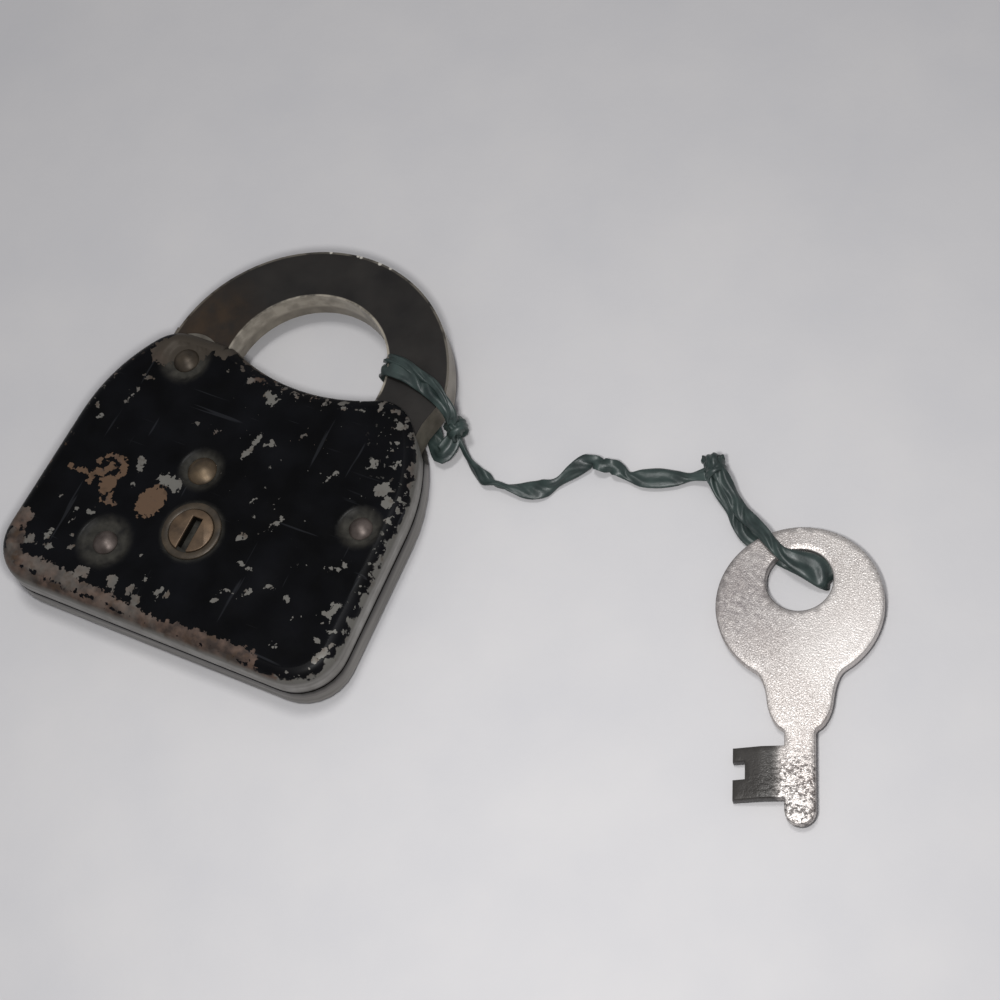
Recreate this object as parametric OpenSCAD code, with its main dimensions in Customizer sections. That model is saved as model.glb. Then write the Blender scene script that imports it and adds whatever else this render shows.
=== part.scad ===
// Pressed-steel warded padlock, lying on its back with the shackle closed,
// with its flat key on a ribbon tie. Millimetres, +Z up, +Y towards the shackle.
// The origin is on the face it rests on, at the middle of the case.

/* [Case] */
// Width of the case along its bottom edge
case_w = 50; // [46:1:60]
// Length of the case from the bottom edge to the top corners
case_l = 39.4; // [33:0.1:48]
// Thickness of the closed case
case_t = 9; // [8:0.1:11]
// Thickness of the steel sheet of both shells
sheet_t = 0.9; // [0.6:0.05:1.2]
// Outer radius of the bend between face and wall
bend_r = 1.8; // [1.3:0.1:2.4]
// Radius of the two bottom corners
corner_r = 6.2; // [4:0.2:9]
// Angle by which each side leans inwards
side_lean = 2.3; // [1:0.1:4]
// Radius of the long shoulder curve above each straight side
shoulder_r = 24; // [20:1:30]
// Radius of the two top corners
lobe_r = 5.5; // [4.5:0.1:6.5]
// Radius of the hollow between the top corners
neck_r = 27; // [22:1:40]
// Depth of that hollow below the top corners
neck_d = 2.6; // [1.5:0.1:3.2]

/* [Shackle] */
// Thickness of the shackle plate
shackle_t = 4.2; // [3:0.1:5]
// Outer radius of the bow
bow_out_r = 19.8; // [19:0.1:22]
// Radius of the opening in the bow
bow_in_r = 11.1; // [9:0.1:12]
// How far the shackle swings open, in degrees
swing_deg = 80; // [40:5:80]
// Radius of the round heel about the pivot
heel_r = 4.9; // [4:0.1:5.2]
// Width of the toe where it enters the case
toe_w = 7.4; // [6:0.05:7.5]

/* [Rivets and studs] */
// Radius of the shackle pivot
pivot_r = 1.6; // [1.2:0.1:2]
// Radius of the head of the pivot rivet
pivot_head_r = 1.75; // [1.7:0.05:2.6]
// Radius of the shoulder of the corner rivet
corner_stud_r = 2; // [1.5:0.1:2.4]
// Radius of the shoulder of both bolt studs
bolt_stud_r = 1.5; // [1.2:0.1:1.8]
// Radius of the rivet shanks where they pass the shells
shank_r = 1.1; // [0.8:0.05:1.15]
// Depth of the dishes in which the rivet heads sit
dish_d = 0.45; // [0.2:0.05:0.5]

/* [Bolt and drum] */
// Thickness of the bolt plate
bolt_t = 1.5; // [1:0.1:1.8]
// Travel of the bolt from drawn back to locked
bolt_travel = 3.2; // [2:0.1:3.4]
// Height of the bolt plate across its two slots
bolt_h = 5.6; // [5.2:0.1:6]
// Radius of the slotted disc that shows in the rear shell
drum_head_r = 2.93; // [2.8:0.01:3.4]
// Radius of the drum where it turns in the rear shell
drum_r = 2.4; // [2.1:0.05:2.5]
// Width of the slot for the key
key_slot_w = 1.45; // [1.4:0.05:1.8]
// Reach of the key bit from the key's axis
bit_reach = 7.85; // [7:0.05:7.9]

/* [Key] */
// Radius of the round bow of the key
key_bow_r = 10.05; // [8:0.05:12]
// Thickness of the key blank
key_t = 1.3; // [1:0.1:1.4]
// Width of the stem
stem_w = 3.8; // [3:0.1:4]
// Length of the bit along the stem
bit_l = 6.4; // [5:0.1:6.8]

/* [Hidden] */

$fn = 64;
gap = 0.05;          // running clearance, and the gap between pieces that may touch
side_gap = 0.3;      // clearance of a plate beside a wall
seam_z = case_t / 2; // the two shells meet here
mid_z = case_t / 2;
inside_front = sheet_t;
inside_rear = case_t - sheet_t;
bottom_y = -case_l / 2;
top_y = bottom_y + case_l;
eps = 0.01;

// Places of the rivets, of the drum and of the bolt's two studs
pivot_xy = [-13.7, top_y - 4.2];
corner_xy = [-10.7, bottom_y + 8.4];
stud_y = 2;
stud_left_xy = [-3.6, stud_y];
stud_right_xy = [19.8, stud_y];
drum_xy = [-0.4, -6.1];
pivot_dish_r = 3.45;
corner_dish_r = 3.7;
stud_left_dish_r = 3.0;
stud_right_dish_r = 2.85;

// Case outline: tangent arcs, each given by its centre, radius and angles.
// An inset moves the whole outline inwards without changing any centre.
side_p = case_w / 2 * cos(side_lean) + bottom_y * sin(side_lean);
corner_c = [(side_p - corner_r - (bottom_y + corner_r) * sin(side_lean)) / cos(side_lean),
            bottom_y + corner_r];
shoulder_y = top_y - 15.4;
shoulder_c = [(side_p - shoulder_y * sin(side_lean)) / cos(side_lean)
              - shoulder_r * cos(side_lean), shoulder_y - shoulder_r * sin(side_lean)];
lobe_dy = top_y - lobe_r - shoulder_c.y;
lobe_c = [shoulder_c.x + sqrt((shoulder_r - lobe_r) ^ 2 - lobe_dy ^ 2), top_y - lobe_r];
lobe_a = atan2(lobe_dy, lobe_c.x - shoulder_c.x);
neck_x = 2.5;
neck_c = [neck_x, top_y - neck_d + neck_r];

function arc(c, r, a0, a1, n) =
    [for (i = [0:n]) let (a = a0 + (a1 - a0) * i / n) [c.x + r * cos(a), c.y + r * sin(a)]];
function mirrored(points) = [for (i = [len(points) - 1:-1:0]) [-points[i].x, points[i].y]];
function right_side(d) = concat(arc(corner_c, corner_r - d, -90, side_lean, 7),
                                arc(shoulder_c, shoulder_r - d, side_lean, lobe_a, 6),
                                [for (i = [1:6]) let (a = lobe_a + (90 - lobe_a) * i / 6)
                                 lobe_c + (lobe_r - d) * [cos(a), sin(a)]]);
function neck(d) = let (half = acos((neck_c.y - top_y + d) / (neck_r + d)))
    arc(neck_c, neck_r + d, half - 90, -half - 90, 12);
function case_outline(d) = concat(right_side(d), neck(d), mirrored(right_side(d)));

// Shackle: the bow's circles, the straight toe and the round heel
bow_out_c = [1.3, pivot_xy.y + 3];
bow_in_c = [1, pivot_xy.y + 4.9];
toe_x = 12.1;                                  // inner edge of the toe
toe_swing_r = toe_x + toe_w - pivot_xy.x;      // no point of the toe is further from the pivot
toe_end_y = pivot_xy.y - 9.7;
toe_top_y = pivot_xy.y + 7.1;
toe_flare = 0.9;                               // the leg widens by this up to toe_top_y
heel_x = bow_in_c.x - bow_in_r;                // inner edge of the pivot leg
shackle_z = mid_z - shackle_t / 2;

// Bolt, in its drawn-back place
bolt_z = mid_z + 0.5;
bolt_y = bolt_h / 2 - 0.6;                     // lower edge is bolt_y below the stud line
slot_half = bolt_stud_r + 2 * gap;
cheek_x = drum_xy.x + 0.4;                     // left cheek of the gate
gate_w = 2.4;
gate_h = 2.9;
bolt_left = stud_left_xy.x - slot_half - bolt_travel - 1.5;
bolt_right = stud_right_xy.x - 0.6;
nose_y = toe_end_y + 1.4;
nose_h = 2.3;
nose_w = 3.2;
nose_play = 0.25;

// Wall openings for the two legs, cut in the seam and flared to each face
notch_right_y = pivot_xy.y - 0.6;
notch_left_y = pivot_xy.y - 4.8;
notch_flare = 4.2;
leg_gap_right_x = toe_x - 0.9;
leg_gap_left_x = -9.3;

// Key, as it lies beside the lock
key_xy = [72.2, 14.4];
key_turn = -67;                                // direction from bow to tip
key_z = 0.7;
key_hole_r = 4.05;
key_hole_back = 3.05;
neck_at = 11.3;
neck_w = 9;
shoulder_at = 15.7;
shoulder_w = 7.2;
bit_at = 18;
tip_at = 27.65;
bit_bend = 4.45;                               // the bit is bent down beyond this reach
bit_drop_deg = 11;
bit_notch = [1.7, 2.2, 1.45];                  // start, length and depth of the ward notch

// Ribbon tie: hand-laid route of its middle, from the shackle's knot to the key's knot
tie_w = 2.2;
tie_band_t = 0.6;
knot_shackle_at = [22.5, 20.9, 3];
knot_key_at = [55.4, 27, 2];
TIE_ROUTE = [[22.5, 20.6, 2.6], [23.4, 19.8, 2], [24.6, 18.7, 1.5], [26, 17.6, 1.2],
             [27.8, 16.6, 1.15], [29.8, 16, 1.15], [31.8, 15.9, 1.15], [33.8, 16.5, 1.15],
             [35.6, 17.7, 1.15], [37.1, 19.2, 1.15], [38.3, 20.9, 1.15], [39.4, 22.5, 1.15],
             [41, 23.4, 1.15], [43, 23.4, 1.15], [45, 23.2, 1.15], [47, 23.5, 1.15],
             [49, 24.2, 1.15], [51, 24.9, 1.15], [53, 25.7, 1.3], [54.8, 26.6, 1.7]];
// Slanting band round the shackle's leg, and the long loop through the key
leg_band_at = [toe_x - 0.5, pivot_xy.y + 9.8];
leg_band_deg = -25;
key_loop_at = [56.2, 26.6];
key_loop_deg = -26;
key_loop_l = 18.4;

// ---------------------------------------------------------------- the shells

// A solid with the case's outline, its edge rounded by r below z_face
module case_block(d, r, z_rim, z_face, steps = 4) {
    ring_dz = concat([[d, z_rim]], [for (i = [0:steps]) let (a = 90 * i / steps)
              [d + r * (1 - cos(a)), z_face - r + r * sin(a)]]);
    rings = [for (dz = ring_dz) [for (p = case_outline(dz[0])) [p.x, p.y, dz[1]]]];
    n = len(rings[0]);
    last = len(rings) - 1;
    points = [for (ring = rings) each ring];
    sides = [for (k = [0:last - 1]) for (i = [0:n - 1]) let (j = (i + 1) % n)
             [k * n + i, (k + 1) * n + i, (k + 1) * n + j, k * n + j]];
    polyhedron(points, concat([[for (i = [0:n - 1]) i]], sides,
                              [[for (i = [n - 1:-1:0]) last * n + i]]), convexity = 6);
}

// Seen along X: the mouth that the two rims leave for a leg
module leg_notch(y0, x0, x1) {
    half = mid_z - sheet_t;
    flare = [for (i = [0:8]) let (s = i / 8) [y0 + notch_flare * s ^ 2.2,
             half * (1 - (1 - s) ^ 2.2) ^ 0.9]];
    translate([x0, 0, mid_z]) rotate([90, 0, 90]) linear_extrude(x1 - x0)
        polygon(concat([for (p = flare) [p[0], p[1]]], [[top_y + 3, half], [top_y + 3, -half]],
                       [for (i = [8:-1:1]) [flare[i][0], -flare[i][1]]]));
}

// One pan, drawn as the rear shell: open towards the seam, face at case_t
module pan() {
    difference() {
        case_block(0, bend_r, seam_z, case_t);
        case_block(sheet_t, bend_r - sheet_t, seam_z - 1, case_t - sheet_t);
        leg_notch(notch_right_y, leg_gap_right_x, case_w / 2 + 2);
        leg_notch(notch_left_y, -case_w / 2 - 2, leg_gap_left_x);
        for (h = [[pivot_xy, pivot_dish_r, pivot_r], [corner_xy, corner_dish_r, shank_r],
                  [stud_left_xy, stud_left_dish_r, shank_r],
                  [stud_right_xy, stud_right_dish_r, shank_r]])
            translate([h[0].x, h[0].y, 0]) {
                translate([0, 0, case_t - dish_d]) cylinder(h = 1, r1 = h[1] - 0.5, r2 = h[1] + 0.6);
                translate([0, 0, inside_rear - 1]) cylinder(h = 2 + sheet_t, r = h[2]);
            }
    }
}

module rear_shell() {
    color([0.06, 0.06, 0.08]) difference() {
        pan();
        translate([drum_xy.x, drum_xy.y, inside_rear - 1])
            cylinder(h = 2 + sheet_t, r = drum_r + gap);
    }
}

// The keyhole is in the shell that lies underneath
module front_shell() {
    keyhole_r = stem_w / 2 + 0.2;
    color([0.07, 0.07, 0.09]) difference() {
        translate([0, 0, case_t]) mirror([0, 0, 1]) pan();
        translate([drum_xy.x, drum_xy.y, -1]) {
            cylinder(h = 2 + sheet_t, r = keyhole_r);
            translate([-key_slot_w / 2, -bit_reach - 0.3, 0])
                cube([key_slot_w, bit_reach + 0.3, 2 + sheet_t]);
        }
    }
}

// ---------------------------------------------------------------- the shackle

// Plan of the shackle plate, drawn larger by grow on every edge
module shackle_plan(grow = 0) {
    heel_left = pivot_xy.x - heel_r;
    difference() {
        union() {
            intersection() {
                translate(bow_out_c) circle(bow_out_r + grow, $fn = 128);
                polygon([[-60, bow_out_c.y], [toe_x + toe_w + grow, bow_out_c.y],
                         [toe_x + toe_w + grow + toe_flare, toe_top_y], [60, 60], [-60, 60]]);
            }
            translate([heel_left - grow, pivot_xy.y])
                square([heel_x - heel_left + 2 * grow, bow_in_c.y - pivot_xy.y]);
            translate(pivot_xy) circle(heel_r + grow);
            intersection() {
                translate([toe_x - grow, toe_end_y - grow]) square([20, toe_top_y - toe_end_y]);
                polygon([[-60, -60], [toe_x + toe_w + grow, -60],
                         [toe_x + toe_w + grow, bow_out_c.y],
                         [toe_x + toe_w + grow + toe_flare, toe_top_y], [-60, 60]]);
                union() {
                    translate(pivot_xy) circle(toe_swing_r + grow, $fn = 128);
                    translate([toe_x, pivot_xy.y]) square([toe_w + 2, 10]);
                }
            }
        }
        translate(bow_in_c) circle(bow_in_r - grow, $fn = 128);
        translate([heel_x + grow, pivot_xy.y + heel_r + 0.3])
            square([toe_x - heel_x - 2 * grow, bow_in_c.y - pivot_xy.y - heel_r - 0.3]);
        translate([heel_x + heel_r, pivot_xy.y - 20]) square([toe_x - heel_x - heel_r - grow, 25]);
    }
}

module shackle() {
    color([0.16, 0.14, 0.13]) translate([0, 0, shackle_z]) difference() {
        linear_extrude(shackle_t) shackle_plan();
        translate([pivot_xy.x, pivot_xy.y, -1]) cylinder(h = shackle_t + 2, r = pivot_r + gap);
        translate([toe_x - 1, nose_y - nose_play, -1])
            cube([1 + nose_w, nose_h + 2 * nose_play, shackle_t + 2]);
    }
}

// ---------------------------------------------------------------- rivets and spacers

// A rivet through both shells: domed head at the rear, flat one flush underneath
module rivet(xy, shank, shoulder, head_r, dome_h = 0.9) {
    z_dish = case_t - dish_d;
    sphere_r = (head_r ^ 2 + dome_h ^ 2) / (2 * dome_h);
    translate([xy.x, xy.y, 0]) {
        translate([0, 0, gap]) cylinder(h = dish_d - gap, r = head_r);
        translate([0, 0, dish_d]) cylinder(h = z_dish - dish_d, r = shank);
        if (shoulder > shank)
            translate([0, 0, inside_front]) cylinder(h = inside_rear - inside_front, r = shoulder);
        translate([0, 0, z_dish]) intersection() {
            cylinder(h = dome_h + 1, r = head_r);
            translate([0, 0, dome_h - sphere_r]) sphere(sphere_r);
        }
    }
}

module ring_washer(xy, r_in, r_out, z0, z1) {
    translate([xy.x, xy.y, z0]) difference() {
        cylinder(h = z1 - z0, r = r_out);
        translate([0, 0, -1]) cylinder(h = z1 - z0 + 2, r = r_in);
    }
}

module pivot_rivet() {
    color([0.42, 0.37, 0.32]) rivet(pivot_xy, pivot_r, 0, pivot_head_r);
}

module pivot_washer_rear() {
    color([0.5, 0.49, 0.46])
        ring_washer(pivot_xy, pivot_r, 4.4, shackle_z + shackle_t + gap, inside_rear);
}

module pivot_washer_front() {
    color([0.5, 0.49, 0.46])
        ring_washer(pivot_xy, pivot_r, 4.4, inside_front, shackle_z - gap);
}

module corner_rivet() {
    color([0.55, 0.54, 0.52]) rivet(corner_xy, shank_r, corner_stud_r, 1.7);
}

module bolt_stud_left() {
    color([0.45, 0.39, 0.3]) rivet(stud_left_xy, shank_r, bolt_stud_r, 2);
}

module bolt_stud_right() {
    color([0.55, 0.5, 0.48]) rivet(stud_right_xy, shank_r, bolt_stud_r, 1.6);
}

// Sleeves on the studs hold the bolt at its height
spacer_r = 2.3;

module stud_spacer_left_rear() {
    color([0.5, 0.49, 0.46])
        ring_washer(stud_left_xy, bolt_stud_r, spacer_r, bolt_z + bolt_t + gap, inside_rear);
}

module stud_spacer_left_front() {
    color([0.5, 0.49, 0.46])
        ring_washer(stud_left_xy, bolt_stud_r, spacer_r, inside_front, bolt_z - gap);
}

module stud_spacer_right_rear() {
    color([0.5, 0.49, 0.46])
        ring_washer(stud_right_xy, bolt_stud_r, spacer_r, bolt_z + bolt_t + gap, inside_rear);
}

module stud_spacer_right_front() {
    color([0.5, 0.49, 0.46])
        ring_washer(stud_right_xy, bolt_stud_r, spacer_r, inside_front, bolt_z - gap);
}

// ---------------------------------------------------------------- bolt and wards

module slot_cut(x0, x1) {
    translate([x0, stud_y - slot_half]) square([x1 - x0, 2 * slot_half]);
    for (x = [x0, x1]) translate([x, stud_y]) circle(slot_half);
}

module bolt() {
    low = stud_y - bolt_y - 0.5;
    color([0.6, 0.59, 0.56]) translate([0, 0, bolt_z]) linear_extrude(bolt_t) difference() {
        union() {
            translate([bolt_left, low]) square([bolt_right - bolt_left, bolt_h]);
            translate([5.2, low]) square([3.4, nose_y + nose_h - low]);
            translate([5.2, nose_y]) square([toe_x - 5.2 - nose_play, nose_h]);
        }
        slot_cut(stud_left_xy.x - bolt_travel, stud_left_xy.x);
        slot_cut(stud_right_xy.x - bolt_travel, stud_right_xy.x + 5);
        translate([cheek_x, low - 1]) square([gate_w, gate_h + 1]);
    }
}

// A leaf that curls round the corner rivet and presses on the bolt's lower rail
spring_t = 0.4;
spring_h = 1.5;
spring_turn_r = 4;

module bolt_spring() {
    low = stud_y - bolt_y - 0.5;
    eye_r = corner_stud_r + gap;
    leaf_x = corner_xy.x - eye_r - spring_t;
    turn_y = low - gap - spring_turn_r;
    color([0.35, 0.36, 0.4]) translate([0, 0, bolt_z]) {
        ring_washer(corner_xy, eye_r, eye_r + spring_t, 0, spring_h);
        translate([leaf_x, corner_xy.y, 0]) cube([spring_t, turn_y - corner_xy.y, spring_h]);
        translate([leaf_x + spring_turn_r, turn_y, 0]) rotate([0, 0, 90])
            rotate_extrude(angle = 90) translate([spring_turn_r - spring_t, 0])
                square([spring_t, spring_h]);
        translate([leaf_x + spring_turn_r, low - gap - spring_t, 0])
            cube([1.2, spring_t, spring_h]);
    }
}

ward_z = 2.8;
ward_t = 1.6;
ward_r = bit_reach - bit_notch[2] + 0.3;

module ward_plate() {
    color([0.55, 0.54, 0.5]) translate([0, 0, ward_z]) difference() {
        linear_extrude(ward_t) difference() {
            union() {
                translate([corner_xy.x - 4, bottom_y + sheet_t + side_gap])
                    square([drum_xy.x + 14 - corner_xy.x, 9]);
                translate([drum_xy.x, bottom_y + sheet_t + side_gap]) square([11, 16]);
                translate(corner_xy) circle(4);
            }
            translate(drum_xy) circle(ward_r);
            translate([drum_xy.x - 1.2, drum_xy.y - bit_reach - 0.6]) square([2.4, 9]);
        }
        translate([corner_xy.x, corner_xy.y, -1])
            cylinder(h = ward_t + 2, r = corner_stud_r + gap);
    }
}

module corner_spacer_rear() {
    color([0.5, 0.49, 0.46])
        ring_washer(corner_xy, corner_stud_r, 3.2, bolt_z + spring_h + gap, inside_rear);
}

module corner_spacer_front() {
    color([0.5, 0.49, 0.46])
        ring_washer(corner_xy, corner_stud_r, 3.2, inside_front, ward_z);
}

// ---------------------------------------------------------------- drum

drum_top = case_t + 0.45;
drum_flange_r = 3.5;
drum_flange_h = 0.6;

module key_drum() {
    color([0.42, 0.35, 0.27]) translate([drum_xy.x, drum_xy.y, 0]) difference() {
        union() {
            translate([0, 0, case_t + gap]) cylinder(h = drum_top - case_t - gap, r = drum_head_r);
            translate([0, 0, inside_rear - gap - drum_flange_h])
                cylinder(h = drum_flange_h, r = drum_flange_r);
            translate([0, 0, inside_rear - gap - drum_flange_h])
                cylinder(h = drum_top - inside_rear + drum_flange_h, r = drum_r);
        }
        translate([-key_slot_w / 2, -drum_flange_r - 1, 0])
            cube([key_slot_w, drum_flange_r + 1 + stem_w / 2, case_t + 2]);
    }
}

module drum_collar() {
    color([0.12, 0.12, 0.13])
        ring_washer(drum_xy, drum_head_r + gap, drum_head_r + 1, case_t, case_t + 0.35);
}

// ---------------------------------------------------------------- key

module key_plan() {
    difference() {
        union() {
            circle(key_bow_r, $fn = 96);
            polygon([[key_bow_r - 4, -neck_w * 0.72], [neck_at, -neck_w / 2],
                     [shoulder_at, -shoulder_w / 2], [shoulder_at, shoulder_w / 2],
                     [neck_at, neck_w / 2], [key_bow_r - 4, neck_w * 0.72]]);
            translate([shoulder_at - 1, -stem_w / 2]) square([tip_at - shoulder_at, stem_w]);
            translate([tip_at - 1.2, 0]) intersection() {
                circle(stem_w / 2);
                translate([0, -stem_w]) square([1.2, 2 * stem_w]);
            }
        }
        translate([-key_hole_back, 0]) circle(key_hole_r, $fn = 64);
    }
}

// Cross-section of the bit: flat next to the stem, then bent down
module bit_section() {
    drop = (bit_reach - bit_bend) * tan(bit_drop_deg);
    polygon([[0, 0], [-bit_bend, 0], [-bit_reach, -drop], [-bit_reach, key_t - drop],
             [-bit_bend, key_t], [0, key_t]]);
}

module key() {
    color([0.72, 0.7, 0.67]) translate([key_xy.x, key_xy.y, key_z]) rotate([0, 0, key_turn]) {
        linear_extrude(key_t) key_plan();
        difference() {
            translate([bit_at, 0, 0]) rotate([90, 0, 90]) linear_extrude(bit_l) bit_section();
            translate([bit_at + bit_notch[0], -bit_reach - 1, -2])
                cube([bit_notch[1], bit_notch[2] + 1, key_t + 4]);
        }
    }
}

// ---------------------------------------------------------------- tie

function unit(v) = v / norm(v);
function tie_dir(i) = unit(TIE_ROUTE[min(i + 1, len(TIE_ROUTE) - 1)] - TIE_ROUTE[max(i - 1, 0)]);

module tie() {
    n = 8;
    count = len(TIE_ROUTE);
    points = [for (i = [0:count - 1]) let (u = tie_dir(i), s = unit(cross([0, 0, 1], u)),
              t = cross(u, s)) for (k = [0:n - 1]) let (a = 360 * (k + 0.5) / n)
              TIE_ROUTE[i] + tie_w / 2 * (cos(a) * s + sin(a) * t)];
    sides = [for (i = [0:count - 2]) for (k = [0:n - 1]) let (m = (k + 1) % n)
             [i * n + k, i * n + m, (i + 1) * n + m, (i + 1) * n + k]];
    color([0.22, 0.31, 0.28])
        polyhedron(points, concat([[for (k = [n - 1:-1:0]) k]], sides,
                                  [[for (k = [0:n - 1]) (count - 1) * n + k]]));
}

// A flat band round the toe leg, drawn slanting across it
module tie_loop_shackle() {
    color([0.22, 0.31, 0.28]) difference() {
        translate([0, 0, shackle_z - gap - tie_band_t])
            linear_extrude(shackle_t + 2 * (gap + tie_band_t)) intersection() {
                shackle_plan(gap + tie_band_t);
                translate(leg_band_at) rotate([0, 0, leg_band_deg]) translate([-4, -tie_w / 2])
                    square([20, tie_w]);
            }
        translate([0, 0, shackle_z - gap]) linear_extrude(shackle_t + 2 * gap)
            shackle_plan(gap);
    }
}

// The doubled strand: over the rim of the key's bow, through its hole and back below
module tie_loop_key() {
    low = key_z - gap - tie_band_t;
    high = key_z + key_t + gap + tie_band_t;
    r_out = (high - low) / 2;
    color([0.22, 0.31, 0.28]) translate([key_loop_at.x, key_loop_at.y, low])
        rotate([0, 0, key_loop_deg]) translate([0, tie_w / 2, 0]) rotate([90, 0, 0])
            linear_extrude(tie_w) difference() {
                band_plan(r_out);
                translate([0, tie_band_t]) band_plan(r_out - tie_band_t);
            }
}

module band_plan(r) {
    for (x = [0, key_loop_l]) translate([x, r]) circle(r, $fn = 48);
    square([key_loop_l, 2 * r]);
}

// A knot: a drum-shaped bead standing for the wound strands
module knot(at, r, h, turn) {
    translate(at) rotate([0, 0, turn]) rotate([90, 0, 0]) translate([0, 0, -h / 2])
        rotate_extrude() polygon([[0, 0], [r * 0.72, 0], [r, h * 0.25], [r, h * 0.75],
                                  [r * 0.72, h], [0, h]]);
}

module tie_knot_shackle() {
    color([0.16, 0.27, 0.25]) knot(knot_shackle_at, 1.7, 3.2, 35);
}

module tie_knot_key() {
    color([0.16, 0.27, 0.25]) knot(knot_key_at, 1.9, 3, 60);
}

rear_shell();
front_shell();
shackle();
pivot_rivet();
pivot_washer_rear();
pivot_washer_front();
corner_rivet();
corner_spacer_rear();
corner_spacer_front();
bolt_stud_left();
bolt_stud_right();
stud_spacer_left_rear();
stud_spacer_left_front();
stud_spacer_right_rear();
stud_spacer_right_front();
bolt();
bolt_spring();
ward_plate();
key_drum();
drum_collar();
key();
tie_loop_shackle();
tie_knot_shackle();
tie();
tie_knot_key();
tie_loop_key();
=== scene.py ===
# %% [markdown]
# # A worn padlock with its key
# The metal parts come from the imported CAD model, which fixes every size and place.
# This script adds what CAD leaves out: pressed and chipped sheet, rust, pitted plating and
# a crumpled ribbon tie. Lengths below are in millimetres, and MM turns them into metres.

import math

import bmesh
import bpy
import numpy as np
from mathutils import Matrix, Vector, geometry


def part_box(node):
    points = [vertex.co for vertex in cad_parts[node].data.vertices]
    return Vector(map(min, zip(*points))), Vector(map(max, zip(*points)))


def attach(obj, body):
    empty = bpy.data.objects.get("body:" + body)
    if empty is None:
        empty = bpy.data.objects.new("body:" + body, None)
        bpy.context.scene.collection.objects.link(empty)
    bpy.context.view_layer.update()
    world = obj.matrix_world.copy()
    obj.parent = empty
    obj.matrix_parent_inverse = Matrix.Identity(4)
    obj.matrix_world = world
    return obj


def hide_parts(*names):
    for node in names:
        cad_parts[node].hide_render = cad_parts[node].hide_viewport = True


bpy.ops.wm.read_factory_settings(use_empty=True)
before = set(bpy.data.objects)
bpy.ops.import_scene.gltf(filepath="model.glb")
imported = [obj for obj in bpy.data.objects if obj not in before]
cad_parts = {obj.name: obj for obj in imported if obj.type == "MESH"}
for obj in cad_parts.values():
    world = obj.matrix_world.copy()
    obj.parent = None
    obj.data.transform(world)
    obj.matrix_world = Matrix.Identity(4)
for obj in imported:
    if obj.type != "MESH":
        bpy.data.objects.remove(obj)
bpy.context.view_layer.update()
MM = 0.001
scene = bpy.context.scene
scene.view_settings.view_transform = "Standard"

# %% [markdown]
# The camera looks down on the lock from the side of the key, steeply, as a person would
# look at it on a table. Its place and its three axes were measured, so they are written as
# a matrix: its columns are the camera's right, up and backward directions.

# %% Camera
CAMERA_AT = (141.22, -84.89, 263.40)
CAMERA_RIGHT = (0.87881, 0.43106, -0.20464)
CAMERA_UP = (-0.30786, 0.83987, 0.44705)
CAMERA_BACK = (0.36457, -0.32987, 0.87079)
camera = bpy.data.objects.new("camera", bpy.data.cameras.new("camera"))
scene.collection.objects.link(camera)
camera.data.lens = 86.33
camera.data.sensor_width = 36
camera.data.clip_start, camera.data.clip_end = 0.01, 10
turn = Matrix((CAMERA_RIGHT, CAMERA_UP, CAMERA_BACK)).transposed()
camera.matrix_world = Matrix.Translation(Vector(CAMERA_AT) * MM) @ turn.to_4x4()
scene.camera = camera

# %% [markdown]
# The ribbon tie is a flat plastic strip that was twisted along its length, so it looks wide
# where it lies flat and thin where it stands on edge. A sweep along a smooth curve can do
# that if every point has its own width and its own roll about the curve.

# %% A smooth route through a few points
CURVE_STEPS = 24  # samples between two points of a route
ROUTE_STEP = 0.35


def lengths_along(points):
    """The distance travelled from the first point to each point."""
    return np.r_[0, np.cumsum(np.linalg.norm(np.diff(points, axis=0), axis=1))]


def smooth_route(points):
    """Catmull-Rom curve through the rows of points, resampled evenly. Extra columns follow."""
    p = np.array(points, float)
    ends = np.vstack([2 * p[0] - p[1], p, 2 * p[-1] - p[-2]])
    rows = []
    for i in range(1, len(ends) - 2):
        a, b, c, d = ends[i - 1 : i + 3]
        for t in np.linspace(0, 1, CURVE_STEPS, endpoint=False):
            rows.append(0.5 * (2 * b + (c - a) * t + (2 * a - 5 * b + 4 * c - d) * t**2
                               + (3 * b - a - 3 * c + d) * t**3))
    rows = np.vstack([rows, p[-1]])
    along = lengths_along(rows[:, :3])
    even = np.linspace(0, along[-1], max(4, int(along[-1] / ROUTE_STEP)))
    return np.column_stack([np.interp(even, along, rows[:, k]) for k in range(p.shape[1])])


# %% A mesh that rides on a body
def new_piece(name, vertices, faces, body, stands_for=(), slot=None):
    """A mesh in millimetres becomes a piece in metres that rides on a CAD body."""
    mesh = bpy.data.meshes.new(name)
    mesh.from_pydata([tuple(v * MM for v in p) for p in vertices], [], faces)
    mesh.validate()
    mesh.update()
    mesh.shade_smooth()
    piece = bpy.data.objects.new(name, mesh)
    scene.collection.objects.link(piece)
    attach(piece, body)
    if stands_for:
        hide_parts(*stands_for)
    return piece


# %% A ribbon swept along a route
SECTION_POINTS = 20  # points round the ribbon's section


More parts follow.
